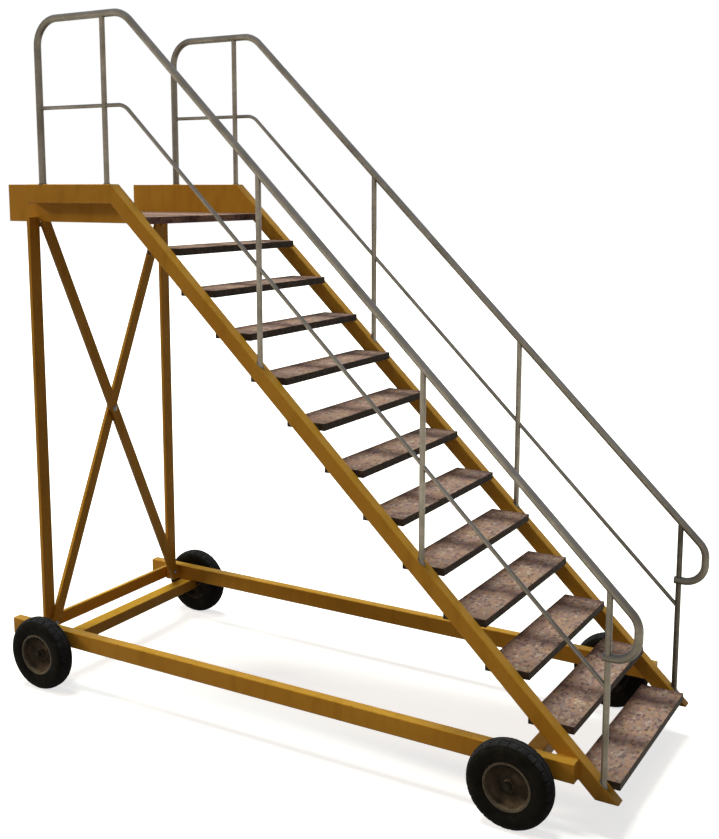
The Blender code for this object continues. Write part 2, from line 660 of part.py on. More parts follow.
def make_upright(place, side, parent):
    """A vertical tube from the stringer or platform rail, notched under the handrail."""
    name = f"{place}_upright_{side}"
    x = SIDE_SIGN[side] * HANDRAIL_X
    y = UPRIGHT_Y[place]
    outer = circle(UPRIGHT_RADIUS, TUBE_SIDES)
    inner = circle(UPRIGHT_RADIUS - UPRIGHT_WALL, TUBE_SIDES)
    saddle = HANDRAIL_RADIUS + GAP

    def foot(a, b):
        seat = min(CORNER_HEIGHT, stringer_z(y + b))
        return Vector((x + a, y + b, seat + GAP / SLOPE_COS))

    def head(a, b):
        under = math.sqrt(saddle ** 2 - a ** 2) / HANDRAIL_RUN.slant(y)
        return Vector((x + a, y + b, HANDRAIL_RUN.height(y + b) - under))

    upright = add_object(name, to_mesh(name, sleeve_shape(outer, inner, foot, head)), parent,
                         GALVANISED, smooth_angle=40)
    if place == "lower":
        return
    # The mid rail passes through.
    reach = 3 * UPRIGHT_RADIUS
    points = [Vector((x, y + step, MID_RAIL_RUN.height(y + step))) for step in (-reach, reach)]
    hole = cylinder_shape(points[0], points[1], clear_of(MID_RAIL_RADIUS + GAP, TUBE_SIDES), TUBE_SIDES)
    combine(upright, hole, "DIFFERENCE")


# Wheels

def make_axle(end, parent):
    name = f"{end}_axle"
    tip = WHEEL_X + HUB_OFFSET + HUB_LENGTH / 2 + END_PLAY + NUT_THICKNESS + AXLE_POINT
    shape = cylinder_shape((-tip, AXLE_Y[end], WHEEL_RADIUS), (tip, AXLE_Y[end], WHEEL_RADIUS),
                           AXLE_RADIUS, SHAFT_SIDES)
    add_object(name, to_mesh(name, shape), parent, BRIGHT_STEEL, smooth_angle=40)


def tyre_profile():
    """Closed section of the tyre as (radius, along) points, open towards the rim."""
    seat = RIM_RADIUS + GAP
    over_flange = RIM_RADIUS + RIM_FLANGE + GAP
    bead = RIM_WIDTH / 2 - GAP
    bulge = (over_flange + WHEEL_RADIUS) / 2
    outside = [
        (seat, bead),
        (over_flange, bead),
        (bulge, TYRE_WIDTH / 2),
        (WHEEL_RADIUS - SHOULDER_DROP, SHOULDER_WIDTH / 2),
        (WHEEL_RADIUS - TREAD_EDGE_DROP, TREAD_EDGE_WIDTH / 2),
    ]
    inside = [
        (WHEEL_RADIUS - TREAD_THICKNESS, TREAD_EDGE_WIDTH / 2),
        (bulge, TYRE_WIDTH / 2 - TYRE_WALL),
        (seat, bead - BEAD_WIDTH),
    ]
    crown = [(WHEEL_RADIUS, 0.0)]
    far_outside = [(radius, -along) for radius, along in reversed(outside)]
    far_inside = [(radius, -along) for radius, along in reversed(inside)]
    return outside + crown + far_outside + far_inside + inside


def rim_profile(bore):
    """Closed section of the rim: barrel with two flanges, dished disc and hub tube."""
    half = RIM_WIDTH / 2
    flange = RIM_RADIUS + RIM_FLANGE
    barrel = RIM_RADIUS - RIM_SHEET
    hub = bore + HUB_WALL
    hub_disc = DISC_OFFSET - DISC_DISH
    hub_ends = (HUB_OFFSET - HUB_LENGTH / 2, HUB_OFFSET + HUB_LENGTH / 2)
    return [
        (flange, -half - RIM_SHEET),
        (flange, -half),
        (RIM_RADIUS, -half),
        (RIM_RADIUS, half),
        (flange, half),
        (flange, half + RIM_SHEET),
        (barrel, half + RIM_SHEET),
        (barrel, DISC_OFFSET + RIM_SHEET / 2),
        (hub, hub_disc + RIM_SHEET / 2),
        (hub, hub_ends[1]),
        (bore, hub_ends[1]),
        (bore, hub_ends[0]),
        (hub, hub_ends[0]),
        (hub, hub_disc - RIM_SHEET / 2),
        (barrel, DISC_OFFSET - RIM_SHEET / 2),
        (barrel, -half - RIM_SHEET),
    ]


def make_wheel(end, side, parent):
    """Tyre, rim and bush on an empty at the axle, and the nut that keeps them on."""
    sign = SIDE_SIGN[side]
    hub = empty(f"{end}_{side}_wheel", (sign * WHEEL_X, AXLE_Y[end], WHEEL_RADIUS), parent)
    bush_bore = clear_of(AXLE_RADIUS + RUNNING_CLEARANCE, SHAFT_SIDES)
    bush_outer = bush_bore + BUSH_WALL
    hub_ends = (HUB_OFFSET - HUB_LENGTH / 2, HUB_OFFSET + HUB_LENGTH / 2)
    bush = [(bush_bore, hub_ends[0]), (bush_outer, hub_ends[0]), (bush_outer, hub_ends[1]),
            (bush_bore, hub_ends[1])]
    rim_bore = clear_of(bush_outer + GAP, WHEEL_SIDES)
    turned = (
        ("tyre", tyre_profile(), WHEEL_SIDES, TYRE_RUBBER),
        ("rim", rim_profile(rim_bore), WHEEL_SIDES, RIM_STEEL),
        ("bush", bush, SHAFT_SIDES, BRONZE),
    )
    for kind, profile, sides, material in turned:
        name = f"{end}_{side}_{kind}"
        outboard = [(radius, sign * along) for radius, along in profile]
        mesh = to_mesh(name, turned_shape(outboard, "X", sides))
        add_object(name, mesh, hub, material, smooth_angle=40)
    make_axle_nut(end, side, parent)


def make_axle_nut(end, side, parent):
    name = f"{end}_{side}_axle_nut"
    sign = SIDE_SIGN[side]
    start = WHEEL_X + HUB_OFFSET + HUB_LENGTH / 2 + END_PLAY
    bore = circle(clear_of(AXLE_RADIUS + GAP, TUBE_SIDES), TUBE_SIDES)
    corner = NUT_FLATS / 2 / math.cos(math.pi / 6)
    reach = (corner, NUT_FLATS / 2)
    hexagon = [(reach[i % 2] * math.cos(math.tau * i / 12), reach[i % 2] * math.sin(math.tau * i / 12))
               for i in range(12)]

    def at(along):
        return lambda a, b: Vector((sign * along, AXLE_Y[end] + a, WHEEL_RADIUS + b))

    shape = sleeve_shape(hexagon, bore, at(start), at(start + NUT_THICKNESS))
    add_object(name, to_mesh(name, shape), parent, BRIGHT_STEEL)


def make_ladder():
    front = LOOP_FRONT - HANDRAIL_RADIUS
    rear = max(TOE_BOARD_LENGTH, BASE_REAR)
    root = empty("ladder", (0, -(front + rear) / 2, 0))
    for number in range(1, STEP_COUNT + 1):
        make_step(number, root)
    make_deck(root)
    make_rear_tie(root)
    make_braces(root)
    for side in SIDE_SIGN:
        make_stringer(side, root)
        make_platform_rail(side, root)
        make_toe_board(side, root)
        make_base_rail(side, root)
        make_rear_post(side, root)
        make_handrail(side, root)
        make_mid_rail(side, root)
        for place in UPRIGHT_Y:
            make_upright(place, side, root)
    for end in AXLE_Y:
        make_axle_beam(end, root)
        make_axle(end, root)
        for side in SIDE_SIGN:
            make_wheel(end, side, root)


make_ladder()
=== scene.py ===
"""Looks for the rolling warehouse ladder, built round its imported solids.

Metres, +Z up. The stair climbs towards +Y, and left is -X.
"""

import math

import bmesh
import bpy
from mathutils import Matrix, Vector


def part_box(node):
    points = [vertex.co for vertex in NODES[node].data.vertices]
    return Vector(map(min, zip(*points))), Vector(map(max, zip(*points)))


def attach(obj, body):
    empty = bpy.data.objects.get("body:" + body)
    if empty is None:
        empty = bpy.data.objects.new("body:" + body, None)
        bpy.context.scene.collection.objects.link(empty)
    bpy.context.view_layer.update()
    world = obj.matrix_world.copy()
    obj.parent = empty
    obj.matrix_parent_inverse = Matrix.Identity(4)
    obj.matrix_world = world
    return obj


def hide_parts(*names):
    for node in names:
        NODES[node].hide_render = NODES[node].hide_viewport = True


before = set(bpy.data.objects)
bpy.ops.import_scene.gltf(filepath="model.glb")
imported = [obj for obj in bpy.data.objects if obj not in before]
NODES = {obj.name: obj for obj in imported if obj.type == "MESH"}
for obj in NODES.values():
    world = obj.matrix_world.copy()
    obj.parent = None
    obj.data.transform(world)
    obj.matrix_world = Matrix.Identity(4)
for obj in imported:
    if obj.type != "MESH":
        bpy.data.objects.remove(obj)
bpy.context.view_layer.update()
SIDES = {"left": -1, "right": 1}
ENDS = ("front", "rear")
STEPS = [f"step_{number:02d}" for number in range(1, 13)]
FORWARD = (0, -1, 0)

# Sizes that the solids share with this script
HANDRAIL_RADIUS = 0.019
MID_RAIL_RADIUS = 0.010
UPRIGHT_RADIUS = 0.014
TUBE_WALL = 0.0026
HANDRAIL_CORNER_BACK = 0.099    # the turn down the stair, ahead of the stringer's top corner
MID_RAIL_CORNER_BACK = 0.093
HANDRAIL_LOW_HEIGHT = 0.867     # above the stringer at the lower upright
MID_RAIL_LOW_HEIGHT = 0.431
CORNER_BEND = 0.135
SLOPE_BEND = 0.150
LOOP_BEND = 0.100
MID_RAIL_BEND = 0.100
LOOP_TAIL = 0.021               # from the lower upright back to the hand loop's end
UPRIGHT_SUNK = 0.010            # an upright's foot, below the face it stands on
MESH_GAP = 0.0003               # that touching solids keep
WHEEL_RADIUS = 0.201


def middle(node):
    """The middle of a CAD node's box."""
    low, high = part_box(node)
    return (low + high) / 2


# Where the frame's main lines run
RAIL_LOW, RAIL_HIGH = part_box("platform_rail_left")
CORNER_Y = RAIL_LOW.y
CORNER_Z = RAIL_HIGH.z
FOOT_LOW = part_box("stringer_left")[0]
COT = (CORNER_Y - FOOT_LOW.y) / (CORNER_Z - FOOT_LOW.z)
STRINGER_DROP = RAIL_HIGH.z - RAIL_LOW.z
STRINGER_UP = Vector((0.0, -1.0, COT)).normalized()    # square to its upper face
BASE_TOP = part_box("base_rail_right")[1].z
REAR_HUB = middle("rear_right_tyre")
HUBS_Y = (middle("front_right_tyre").y + REAR_HUB.y) / 2
HANDRAIL_LOW, HANDRAIL_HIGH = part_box("handrail_left")
REAR_LEG_Y = HANDRAIL_HIGH.y - HANDRAIL_RADIUS
LOWER_Y = middle("lower_upright_left").y


def stringer_z(y):
    """Height of the stringer's upper edge, or of the platform rail behind it."""
    return CORNER_Z + min(0.0, y - CORNER_Y) / COT


def stringer_y(z, under=0.0):
    """Where the stringer's upper edge, or a line this far under it, passes a height."""
    return CORNER_Y + (z + under - CORNER_Z) * COT


# Colours and nodes

def linear(hex_code):
    """An sRGB hex colour as linear RGBA."""
    def channel(value):
        return value / 12.92 if value <= 0.04045 else ((value + 0.055) / 1.055) ** 2.4
    parts = [int(hex_code[i:i + 2], 16) / 255 for i in (1, 3, 5)]
    return (*[channel(part) for part in parts], 1.0)


def add_node(tree, kind, inputs=None, ramp=None, **settings):
    """Add a node with its settings; an input is a value or another node's socket."""
    made = tree.nodes.new(kind)
    for key, value in settings.items():
        setattr(made, key, value)
    for key, value in (inputs or {}).items():
        if isinstance(value, bpy.types.NodeSocket):
            tree.links.new(value, made.inputs[key])
        else:
            made.inputs[key].default_value = value
    if ramp:
        stops = made.color_ramp.elements
        while len(stops) < len(ramp):
            stops.new(1.0)
        for stop, (position, color) in zip(stops, ramp):
            stop.position = position
            stop.color = linear(color)
    return made


def new_material(name, roughness, metallic=0.0, gloss=0.25):
    """A material, its tree, its shader, and its Object and Normal coordinates."""
    made = bpy.data.materials.new(name)
    made.use_nodes = True
    tree = made.node_tree
    shader = tree.nodes["Principled BSDF"]
    shader.inputs["Roughness"].default_value = roughness
    shader.inputs["Metallic"].default_value = metallic
    shader.inputs["Specular IOR Level"].default_value = gloss
    coordinates = add_node(tree, "ShaderNodeTexCoord").outputs
    return made, tree, shader, coordinates["Object"], coordinates["Normal"]


def per_metre(millimetres):
    """Texture scale whose features are about this wide."""
    return 1000.0 / millimetres


def noise(tree, place, millimetres, detail):
    """Noise in patches about this wide."""
    return add_node(tree, "ShaderNodeTexNoise",
                    {"Vector": place, "Scale": per_metre(millimetres), "Detail": detail}).outputs["Fac"]


def colored(tree, value, ramp):
    """A value as colours along a ramp."""
    return add_node(tree, "ShaderNodeValToRGB", {"Fac": value}, ramp=ramp).outputs["Color"]


def fade(tree, value, start, end, most=1.0, least=0.0):
    """From least to most as a value goes from start to end, either way, and held there."""
    return add_node(tree, "ShaderNodeMapRange",
                    {"Value": value, "From Min": start, "From Max": end, "To Min": least,
                     "To Max": most}).outputs["Result"]


def mixed(tree, factor, color, other, blend="MIX"):
    """A colour with a share of another over it."""
    return add_node(tree, "ShaderNodeMix", {"Factor": factor, "A": color, "B": other},
                    data_type="RGBA", blend_type=blend).outputs["Result"]


def combined(tree, operation, *values):
    """Values joined one after another by an operation."""
    total = values[0]
    for value in values[1:]:
        total = add_node(tree, "ShaderNodeMath", {0: total, 1: value}, operation=operation).outputs["Value"]
    return total


def vector_math(tree, operation, *inputs):
    """The result of a vector operation, as its node."""
    return add_node(tree, "ShaderNodeVectorMath", dict(enumerate(inputs)), operation=operation)


def parted(tree, vector):
    """A vector's X, Y and Z."""
    parts = add_node(tree, "ShaderNodeSeparateXYZ", {"Vector": vector}).outputs
    return parts["X"], parts["Y"], parts["Z"]


def add_relief(tree, shader, height, strength, depth):
    """Bump a shader by a height whose full depth is in metres."""
    bump = add_node(tree, "ShaderNodeBump", {"Height": height, "Strength": strength, "Distance": depth})
    tree.links.new(bump.outputs["Normal"], shader.inputs["Normal"])


# Materials

# Painted shade on the yellow paint's tops beside the wheels
WHEEL_SHADE_FULL, WHEEL_SHADE_END = 0.29, 0.59                    # reach round a spot above each hub
WHEEL_SHADE_STRETCH = Vector((1.0, 1.0, 8.0))
DUST_AND_LIGHT_FROM = (0.0, -0.4, 0.92)                       # the rims' faces turned this way get dust and painted top light
LOW_DARK_FULL, LOW_DARK_END = 0.16, 0.26                # heights
FOOT_DARK_FULL, FOOT_DARK_END = FOOT_LOW.y + 0.04, FOOT_LOW.y + 0.22
TUBE_LOW_DARK_FULL, TUBE_LOW_DARK_END = 1.00, 1.30      # heights
LEG_FULL, LEG_END = REAR_LEG_Y - 0.03, REAR_LEG_Y - 0.13
EDGE_REACH = 0.007


def wheel_end_shade(tree, place):
    """Painted shade: 1 beside the wheels, fading to 0 along the base rails. It is the reach from the nearest
    of four spots above the hubs, folded onto one. Height counts eight times, so that the painted shade lies
    on the rails' tops but not on the beams under them."""
    spot = Vector((REAR_HUB.x, REAR_HUB.y - HUBS_Y, BASE_TOP))
    centred = vector_math(tree, "SUBTRACT", place, Vector((0.0, HUBS_Y, 0.0)))
    folded = vector_math(tree, "ABSOLUTE", centred.outputs["Vector"])
    stretched = vector_math(tree, "MULTIPLY", folded.outputs["Vector"], WHEEL_SHADE_STRETCH)
    reach = vector_math(tree, "DISTANCE", stretched.outputs["Vector"], spot * WHEEL_SHADE_STRETCH)
    return fade(tree, reach.outputs["Value"], WHEEL_SHADE_END, WHEEL_SHADE_FULL)


def rubbed_edges(tree, place):
    """1 along rubbed edges: where a rounded normal leaves the true one, broken up by 14 mm blotches."""
    rounded = add_node(tree, "ShaderNodeBevel", {"Radius": EDGE_REACH}, samples=6)
    surface = add_node(tree, "ShaderNodeNewGeometry")
    facing = vector_math(tree, "DOT_PRODUCT", rounded.outputs["Normal"], surface.outputs["Normal"])
    edge = fade(tree, facing.outputs["Value"], 0.99, 0.90)
    bare = fade(tree, noise(tree, place, 14, 4.0), 0.60, 0.68)
    return combined(tree, "MULTIPLY", edge, bare)


def yellow_enamel():
    """Yellow enamel sprayed on mild steel tube. It is satin, browned a little by dirt that has run down it,
    darker towards the floor and at the stair's foot, and rubbed through to brown primer here and there along
    the edges. Faces turned to the sky are painted lighter as top light, but darker beside the wheels as
    painted shade, and the undersides and the stringers' sloping upper faces carry painted shade."""
    made, tree, shader, place, normal = new_material("yellow_enamel", 0.55, gloss=0.12)
    skyward = parted(tree, normal)[2]
    _, along, height = parted(tree, place)
    faded = colored(tree, noise(tree, place, 420, 3.0),
                    [(0.30, "#bf8a2e"), (0.52, "#c69132"), (0.72, "#cc9838")])
    # Painted top light on faces turned to the sky, which turns to painted shade beside the wheels
    painted_top = mixed(tree, wheel_end_shade(tree, place), linear("#e4ae3c"), linear("#9c7730"))
    top_lit = mixed(tree, fade(tree, skyward, 0.80, 0.97, most=0.7), faded, painted_top)
    drawn_down = add_node(tree, "ShaderNodeMapping", {"Vector": place, "Scale": (1.0, 1.0, 0.3)})
    runs = noise(tree, drawn_down.outputs["Vector"], 70, 6.0)
    slope = vector_math(tree, "DOT_PRODUCT", normal, STRINGER_UP)
    run_down = fade(tree, runs, 0.50, 0.80, most=0.30)
    darker_low = fade(tree, height, LOW_DARK_END, LOW_DARK_FULL, most=0.35)
    darker_at_foot = fade(tree, along, FOOT_DARK_END, FOOT_DARK_FULL, most=0.45)
    # Painted shade on the stringers' sloping upper faces
    slope_shade = fade(tree, slope.outputs["Value"], 0.90, 0.99, most=0.30)
    # Painted shade on the faces turned down
    underside_shade = fade(tree, skyward, -0.20, -0.40, most=0.80)
    # Dirt runs, painted shade and darkening all draw the paint towards one dark brown
    shade_and_darkening = combined(tree, "ADD", run_down, darker_low, darker_at_foot, slope_shade, underside_shade)
    darkened_and_shaded = mixed(tree, shade_and_darkening, top_lit, linear("#7d5a1e"))
    worn = mixed(tree, rubbed_edges(tree, place), darkened_and_shaded, linear("#6b4a1e"))
    tree.links.new(worn, shader.inputs["Base Color"])
    tree.links.new(fade(tree, runs, 0.3, 0.8, most=0.62, least=0.44), shader.inputs["Roughness"])
    # Orange peel is about 2 mm across; drawn at 5 mm so that it shows.
    add_relief(tree, shader, noise(tree, place, 5, 2.0), 0.08, 0.0006)
    return made


def galvanised_tube():
    """Steel tube, hot-dip galvanised and long weathered. The zinc has dulled to a brownish grey with faint
    crystals, darker where hands have held it. Its upper side carries painted shade, cooler and darker, and
    its underside painted shade, browner; it is also darker on the legs at the rear and below waist height."""
    made, tree, shader, place, normal = new_material("galvanised_tube", 0.5, metallic=0.8, gloss=0.3)
    skyward = parted(tree, normal)[2]
    _, along, height = parted(tree, place)
    spangle = add_node(tree, "ShaderNodeTexVoronoi", {"Vector": place, "Scale": per_metre(16)})
    crystals = colored(tree, spangle.outputs["Color"],
                       [(0.1, "#797064"), (0.5, "#7f7669"), (0.9, "#857c6f")])
    cloud = noise(tree, place, 130, 5.0)
    handled = fade(tree, cloud, 0.42, 0.75, most=0.7)
    dulled = mixed(tree, handled, crystals, linear("#615a4e"))
    # Painted shade, cool-tinted, on the upper side
    upper_side_shade = fade(tree, skyward, 0.1, 0.7, most=0.8)
    upper_shaded = mixed(tree, upper_side_shade, dulled, linear("#696a6d"))
    darker_low = fade(tree, height, TUBE_LOW_DARK_END, TUBE_LOW_DARK_FULL, most=0.42)
    # Painted shade on the underside
    lower_side_shade = fade(tree, skyward, -0.1, -0.5, most=0.40)
    rear_legs = fade(tree, along, LEG_END, LEG_FULL, most=0.36)
    shade_and_darkening = combined(tree, "ADD", darker_low, lower_side_shade, rear_legs)
    tree.links.new(mixed(tree, shade_and_darkening, upper_shaded, linear("#3d362d")), shader.inputs["Base Color"])
    tree.links.new(fade(tree, cloud, 0.3, 0.7, most=0.58, least=0.42), shader.inputs["Roughness"])
    return made


def grit_tread():
    """Steel tread under a brown resin coat with crushed stone in it. The stones are mauve, tan, rust and
    grey, with dark and pale ones among them. Two darker bands lie across each tread, which also darkens
    slightly towards both ends."""
    made, tree, shader, place, _ = new_material("grit_tread", 0.9, gloss=0.15)
    # The stones are 2 to 4 mm across; drawn at 13 to 30 mm so that they show, and longer along the tread,
    # the way the coat was trowelled.
    spread = add_node(tree, "ShaderNodeMapping", {"Vector": place, "Scale": (0.6, 1.0, 1.0)})
    warp = add_node(tree, "ShaderNodeTexNoise", {"Vector": place, "Scale": per_metre(20), "Detail": 2.0})
    shifted = add_node(tree, "ShaderNodeMix",
                       {"Factor": 0.012, "A": spread.outputs["Vector"], "B": warp.outputs["Color"]},
                       data_type="VECTOR").outputs["Result"]
    stone = add_node(tree, "ShaderNodeTexVoronoi", {"Vector": shifted, "Scale": per_metre(13)})
    colors = colored(tree, stone.outputs["Color"],
                     [(0.10, "#5a4a4b"), (0.25, "#826966"), (0.38, "#9d7f80"), (0.50, "#ab8c75"),
                      (0.62, "#ae8774"), (0.74, "#8b8079"), (0.90, "#c2ada1")])
    broad = noise(tree, place, 110, 4.0)
    tints = colored(tree, broad, [(0.36, "#9d7d67"), (0.50, "#8f736e"), (0.64, "#7e6b70")])
    coat = mixed(tree, 0.35, colors, tints)
    for width, edge, hidden, color in ((25, 0.30, 0.50, "#4a3b35"), (30, 0.22, 0.56, "#cdb9a8")):
        large = add_node(tree, "ShaderNodeTexVoronoi", {"Vector": shifted, "Scale": per_metre(width)})
        within = fade(tree, large.outputs["Distance"], edge, edge / 2, most=0.7)
        picked = fade(tree, large.outputs["Color"], hidden, hidden + 0.02)
        coat = mixed(tree, combined(tree, "MULTIPLY", within, picked), coat, linear(color))
    # The bands lie across the tread's width, and wander by up to 100 mm.
    across = parted(tree, place)[0]
    wander = add_node(tree, "ShaderNodeMath", {0: broad, 1: 0.10, 2: across}, operation="MULTIPLY_ADD")
    bands = colored(tree, fade(tree, wander.outputs["Value"], -0.46, 0.56),
                    [(0.0, "#dcdcdc"), (0.25, "#ffffff"), (0.37, "#979196"), (0.48, "#ffffff"),
                     (0.74, "#ffffff"), (0.845, "#8a858a"), (0.94, "#e6e6e6"), (1.0, "#b4aeb0")])
    banded = mixed(tree, 1.0, coat, bands, blend="MULTIPLY")
    tree.links.new(banded, shader.inputs["Base Color"])
    add_relief(tree, shader, stone.outputs["Distance"], 0.5, 0.0015)
    return made


def clouded(name, patch, ramp, roughness, metallic=0.0, gloss=0.25, relief=0.0):
    """A material of one noise: patches of a size in mm, coloured by a ramp, with a relief in metres."""
    made, tree, shader, place, _ = new_material(name, roughness, metallic, gloss)
    cloud = noise(tree, place, patch, 6.0)
    tree.links.new(colored(tree, cloud, ramp), shader.inputs["Base Color"])
    if relief:
        add_relief(tree, shader, cloud, 0.25, relief)
    return made


def dark_upright_tube():
    """Steel tube in an even dark brownish grey: the one dark upright, at the lower right."""
    return clouded("dark_upright_tube", 40, [(0.30, "#3f3a32"), (0.50, "#4a443b"), (0.70, "#575046")],
                   0.55, metallic=0.8, gloss=0.3)


def tread_side_shade():
    """The same brown resin run thin over the sheet's folded edges, worn by shoes; its dark colour is painted
    shade.
    """
    return clouded("tread_side_shade", 26, [(0.30, "#312c28"), (0.55, "#463e38"), (0.75, "#665a50")],
                   0.8, gloss=0.15, relief=0.001)


def tyre_rubber():
    """Moulded carbon-black rubber, dry and a little dusty."""
    return clouded("tyre_rubber", 45, [(0.35, "#161512"), (0.60, "#1f1e1b"), (0.85, "#302d28")],
                   0.85, gloss=0.05, relief=0.001)


def tread_rubber():
    """The same rubber where it meets the ground, greyed by wear."""
    return clouded("tread_rubber", 30, [(0.30, "#242427"), (0.55, "#2e2e32"), (0.80, "#3e3d40")],
                   0.9, gloss=0.05, relief=0.001)


def rim_paint():
    """Pressed steel wheel, its paint gone dark, with brown road dust on the faces that were uppermost where
    the ladder last stood; that lighter colour on the faces turned up is also painted top light."""
    made, tree, shader, place, normal = new_material("rim_paint", 0.8, gloss=0.1)
    cloud = noise(tree, place, 38, 6.0)
    paint = colored(tree, cloud, [(0.30, "#191611"), (0.50, "#241f19"), (0.70, "#322b23")])
    # Dust colour, which also stands for painted top light on the faces turned up
    dust = colored(tree, cloud, [(0.30, "#595044"), (0.50, "#706555"), (0.70, "#837766")])
    upward = vector_math(tree, "DOT_PRODUCT", normal, DUST_AND_LIGHT_FROM)
    dust_and_top_light = fade(tree, upward.outputs["Value"], -0.25, 0.45)
    tree.links.new(mixed(tree, dust_and_top_light, paint, dust), shader.inputs["Base Color"])
    add_relief(tree, shader, cloud, 0.25, 0.001)
    return made


def rim_edge():
    """The rolled lip of the wheel, where fitting the tyre has worn the paint to dull steel."""
    return clouded("rim_edge", 20, [(0.30, "#423b31"), (0.50, "#554d41"), (0.70, "#685f51")],
                   0.6, gloss=0.2)


def rim_back():
    """The inner side of the wheel, out of the weather, black with road dirt."""
    return clouded("rim_back", 38, [(0.30, "#1c1915"), (0.50, "#28231d"), (0.70, "#363027")],
                   0.85, gloss=0.1)


def dusty_steel():
    """Axle ends and nuts of plain steel, greased and then coated with the same dust as the wheels."""
    return clouded("dusty_steel", 12, [(0.30, "#211e19"), (0.50, "#2d2922"), (0.70, "#3d382f")],
                   0.8, metallic=0.2, gloss=0.1)


def zinc_plate():
    """Zinc-plated bolts, dulled, with dirt in the corners."""
    return clouded("zinc_plate", 8, [(0.35, "#4d4c49"), (0.55, "#6b6b69"), (0.75, "#868786")],
                   0.45, metallic=0.7, gloss=0.5)


def bush_bronze():
    """Sintered bronze, oiled, with the fine grain of pressed powder."""
    return clouded("bush_bronze", 3, [(0.30, "#7d5c33"), (0.70, "#a07a48")], 0.4, metallic=1.0, gloss=0.5)


PAINT = yellow_enamel()
ZINC_TUBE = galvanised_tube()
BROWN_TUBE = dark_upright_tube()
GRIT = grit_tread()
SHADED_TREAD_SIDE = tread_side_shade()
RUBBER = tyre_rubber()
TREAD_RUBBER = tread_rubber()
RIM = rim_paint()
RIM_EDGE = rim_edge()
RIM_BACK = rim_back()
DUSTY = dusty_steel()
PLATED = zinc_plate()
BRONZE = bush_bronze()


# Making pieces

SAME_PLACE = 1e-4    # points no further apart than this count as level
SHARP = 0.6          # radians between the faces at an edge that is rounded
BOLT_STEPS = 24


def add_piece(name, shape, materials, slot, body="frame", replaced=(), smooth=35):
    """Turn a bmesh into a piece that rides on a body and may stand for CAD nodes."""
    mesh = bpy.data.meshes.new(name)
    shape.to_mesh(mesh)
    shape.free()
    for material in materials:
        mesh.materials.append(material)
    mesh.shade_smooth()
    mesh.set_sharp_from_angle(angle=math.radians(smooth))
    piece = bpy.data.objects.new(name, mesh)
    bpy.context.scene.collection.objects.link(piece)
    even = piece.modifiers.new("even_shading", "WEIGHTED_NORMAL")
    even.keep_sharp = True
    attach(piece, body)
    if replaced:
        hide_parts(*replaced)


def use_material(node, material):
    """Give a CAD node that shows as it is its own material."""
    slots = NODES[node].data.materials
    slots.clear()
    slots.append(material)


def solid_copy(node):
    """A CAD node's mesh, merged, with its flat faces whole again."""
    shape = bmesh.new()
    shape.from_mesh(NODES[node].data)
    bmesh.ops.remove_doubles(shape, verts=shape.verts, dist=1e-5)
    bmesh.ops.dissolve_limit(shape, angle_limit=math.radians(1), verts=shape.verts, edges=shape.edges)
    shape.normal_update()
    return shape


def round_edges(shape, radius, segments=3, shortest=0.0, chosen=None):
    """Round the sharp outer edges that are long enough, or those that a test picks."""
    edges = [edge for edge in shape.edges
             if edge.is_manifold and edge.is_convex and edge.calc_face_angle(0.0) > SHARP
             and edge.calc_length() > shortest and (chosen is None or chosen(edge))]
    bmesh.ops.bevel(shape, geom=edges, offset=radius, offset_type="OFFSET", segments=segments,
                    profile=0.5, affect="EDGES", material=-1, clamp_overlap=True)


def join_in(shape, other):
    """Add another bmesh to a shape."""
    mesh = bpy.data.meshes.new("joined")
    other.to_mesh(mesh)
    other.free()
    shape.from_mesh(mesh)
    bpy.data.meshes.remove(mesh)


def turned(profile, steps, closed=True):
    """A shape turned about X from (radius, along) points."""
    shape = bmesh.new()
    corners = [shape.verts.new((along, 0.0, radius)) for radius, along in profile]
    pairs = list(zip(corners, corners[1:]))
    if closed:
        pairs.append((corners[-1], corners[0]))
    edges = [shape.edges.new(pair) for pair in pairs]
    bmesh.ops.spin(shape, geom=corners + edges, cent=(0, 0, 0), axis=(1, 0, 0),
                   angle=math.tau, steps=steps, use_merge=True)
    bmesh.ops.remove_doubles(shape, verts=shape.verts, dist=1e-6)
    bmesh.ops.recalc_face_normals(shape, faces=shape.faces)
    return shape


def move_to(shape, location, direction):
    """Turn a shape's +X to a direction and move it to a location."""
    turn = Vector(direction).to_track_quat("X", "Z").to_matrix().to_4x4()
    bmesh.ops.transform(shape, matrix=turn, verts=shape.verts)
    bmesh.ops.translate(shape, verts=shape.verts, vec=location)
    return shape


def rounded_path(corners, radii, steps=12):
    """Points along straight runs whose inner corners are bent to given radii."""
    points = [Vector(corners[0])]
    for i, radius in enumerate(radii, start=1):
        corner = Vector(corners[i])
        back = (Vector(corners[i - 1]) - corner).normalized()
        ahead = (Vector(corners[i + 1]) - corner).normalized()
        half = back.angle(ahead) / 2
        centre = corner + (back + ahead).normalized() * (radius / math.sin(half))
        start = corner + back * (radius / math.tan(half)) - centre
        end = corner + ahead * (radius / math.tan(half)) - centre
        turn = start.angle(end)
        for step in range(steps + 1):
            share = step / steps
            arm = (start * math.sin((1 - share) * turn) + end * math.sin(share * turn)) / math.sin(turn)
            points.append(centre + arm)
    points.append(Vector(corners[-1]))
    return points


